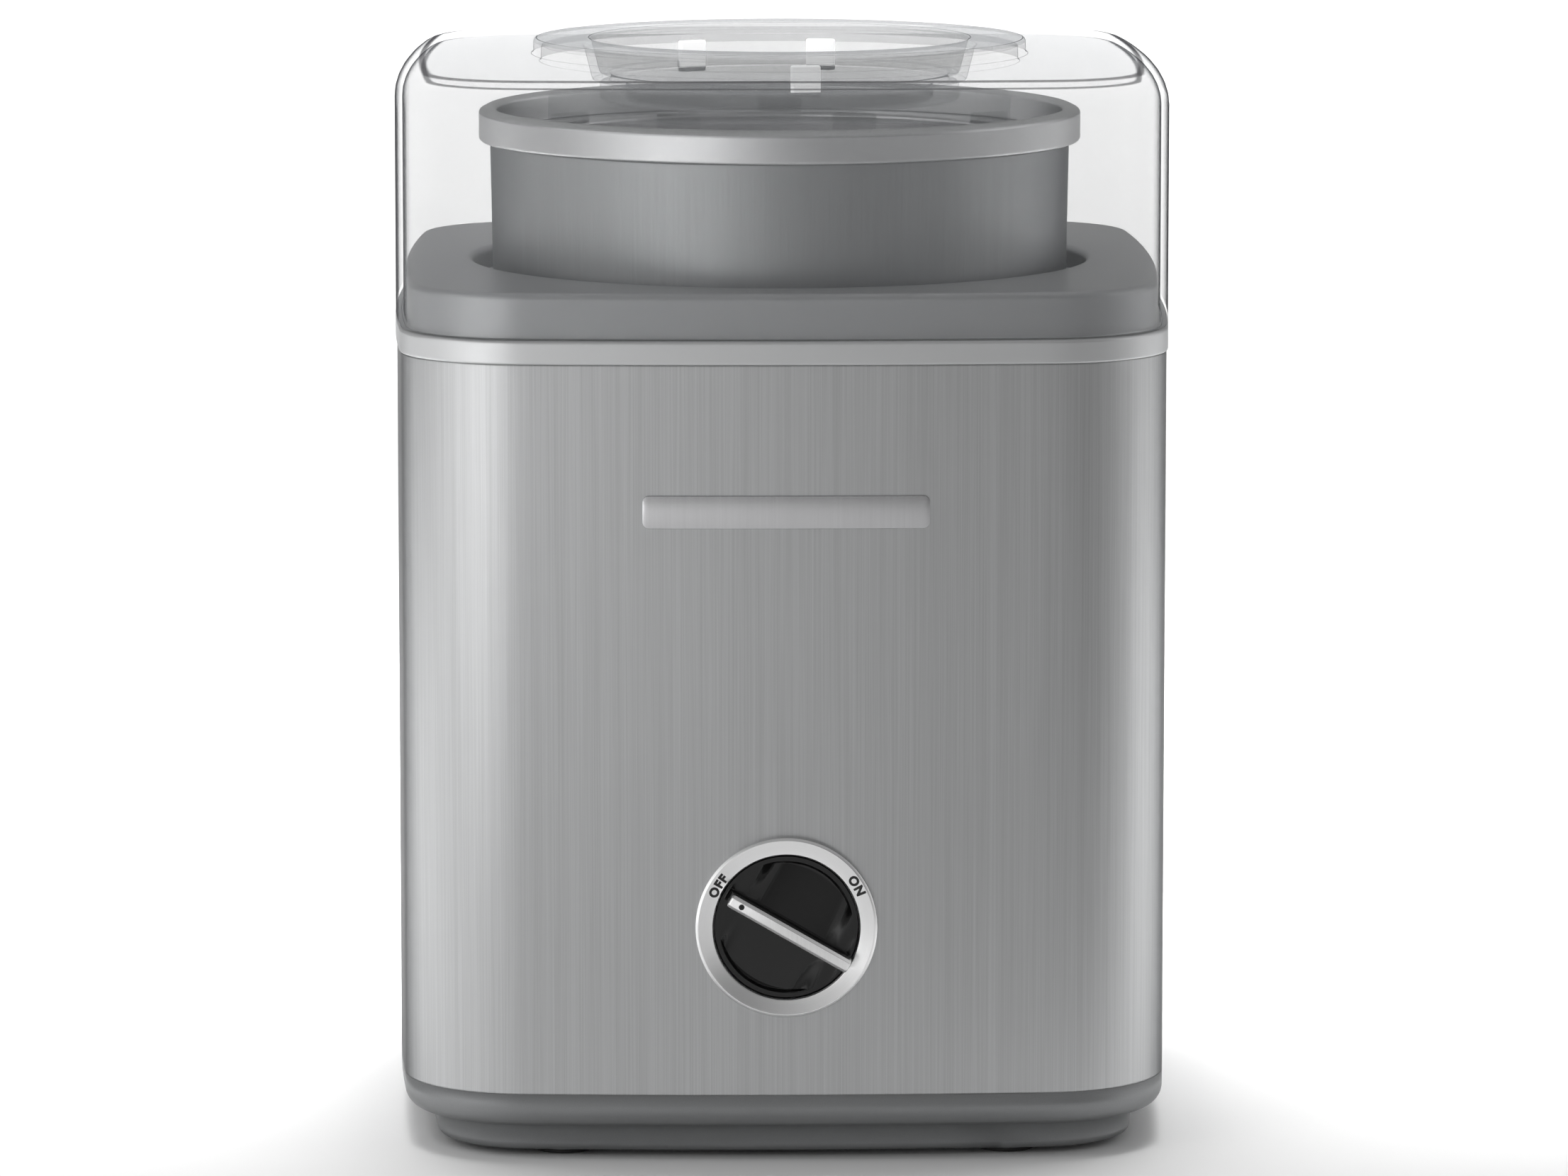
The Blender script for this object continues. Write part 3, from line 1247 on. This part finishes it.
# ---- studio -------------------------------------------------------------------------------
@dataclass
class Studio:
    """Pale floor, soft lights and the camera."""

    camera_offset: Corner = (-39.3, -2249.7, 460.0)
    target: Corner = (1.2, 0.0, 137.0)
    lens: float = 193.6
    overhead: float = 0.30
    surround: tuple[tuple[float, float], ...] = (
        (-180, 0.70), (-150, 0.55), (-115, 0.40), (-85, 1.1), (-35, 1.15), (-12, 0.50), (0, 0.32),
        (10, 0.20), (42, 0.16), (65, 0.25), (85, 0.90), (125, 0.90), (150, 0.50), (180, 0.70))

    def _floor(self) -> None:
        """A wide pale disc that dips out of sight at its edge."""
        recipe = Recipe("studio_floor")
        cloud = recipe.noise(recipe.place(), 0.6, 2.0)
        pale = recipe.blend(cloud, (0.86, 0.86, 0.86), (0.88, 0.88, 0.88))
        material = recipe.finish({"Base Color": pale, "Roughness": 0.9})
        radius = np.array([0.05, 0.4, 1.0, 3.0, 9.0, 18.0]) / MM
        profile = np.stack([np.append(radius, radius[::-1]), np.repeat([-40.0, -0.1], 6)], -1)
        floor = Cast("studio_floor").grid(turned(profile, 64)).pour()
        floor.data.polygons.foreach_set("use_smooth", np.zeros(len(floor.data.polygons), bool))
        dress(floor, material)

    def _lamp(self, name: str, place: Corner, aim: Corner, size: tuple[float, float], watts: float,
              spread: float = 180.0) -> None:
        """Adds one soft rectangular lamp.

        Args:
            name: the lamp's name.
            place: where it stands, in metres.
            aim: where it points, in metres.
            size: its two sides, in metres.
            watts: its power.
            spread: how wide its light fans out, in degrees.
        """
        light = bpy.data.lights.new(name, "AREA")
        light.shape = "RECTANGLE"
        light.size, light.size_y = size
        light.energy = watts
        light.spread = math.radians(spread)
        lamp = bpy.data.objects.new(name, light)
        lamp.location = place
        lamp.rotation_euler = (Vector(aim) - Vector(place)).to_track_quat("-Z", "Y").to_euler()
        lamp.visible_camera = False
        lamp.visible_glossy = False
        bpy.context.scene.collection.objects.link(lamp)

    def _sky(self) -> None:
        """Surround light by bearing: bright at both sides, dim in front, and even above."""
        world = bpy.data.worlds.new("studio_surround")
        bpy.context.scene.world = world
        world.use_nodes = True
        recipe = Recipe("", world.node_tree)
        where = recipe.node("ShaderNodeTexCoord", {}, {}, "Generated")
        parts = recipe.raw("ShaderNodeSeparateXYZ", {}, {0: where})
        x, y, z = (Signal(recipe, parts.outputs[n]) for n in range(3))
        bearing = recipe.node("ShaderNodeMath", {"operation": "ARCTAN2"}, {0: x, 1: y * -1.0})
        stops = [((degrees + 180) / 360, grey(light)) for degrees, light in self.surround]
        ring = recipe.node("ShaderNodeValToRGB", {"stops": stops}, {0: bearing / (2 * math.pi) + 0.5})
        above = recipe.blend(z.ramp(0.25, 0.85), ring, grey(self.overhead))
        back = recipe.raw("ShaderNodeBackground", {}, {"Color": above, "Strength": 1.0})
        out = recipe.raw("ShaderNodeOutputWorld", {}, {})
        recipe.tree.links.new(back.outputs[0], out.inputs["Surface"])

    def _camera(self) -> None:
        """Places the camera and makes it the scene's."""
        data = bpy.data.cameras.new("camera")
        data.lens = self.lens
        data.sensor_width = 36.0
        data.clip_end = 100.0
        camera = bpy.data.objects.new("camera", data)
        shift = Vector((0.0, AXIS_Y * MM, 0.0))
        place = Vector(self.camera_offset) * MM + shift
        aim = Vector(self.target) * MM + shift
        camera.location = place
        camera.rotation_euler = (aim - place).to_track_quat("-Z", "Y").to_euler()
        bpy.context.scene.collection.objects.link(camera)
        bpy.context.scene.camera = camera

    def build(self) -> None:
        """Sets the stage."""
        bpy.context.scene.view_settings.view_transform = "Standard"
        self._floor()
        self._sky()
        self._lamp("far_floor_light", (0.0, 4.6, 1.9), (0.0, 4.6, 0.0), (9.0, 7.0), 290.0, 130.0)
        self._lamp("near_floor_light", (0.0, 0.46, 1.0), (0.0, 0.46, 0.0), (2.4, 1.04), 11.0, 42.0)
        self._lamp("left_floor_light", (-1.6, -1.9, 1.6), (-1.6, -1.9, 0.0), (1.8, 2.6), 60.0, 90.0)
        self._camera()


def main() -> None:
    """Builds every sub-assembly in order."""
    logging.basicConfig(level=logging.INFO, format="%(name)s %(message)s")
    for part in (TopHousing(), SteelSleeve(), BasePan(), FreezerBowl(), MixingPaddle(), ClearLid(),
                 SwitchKnob(), Badge(), Insides(), Studio()):
        part.build()


if __name__ == "__main__":
    main()
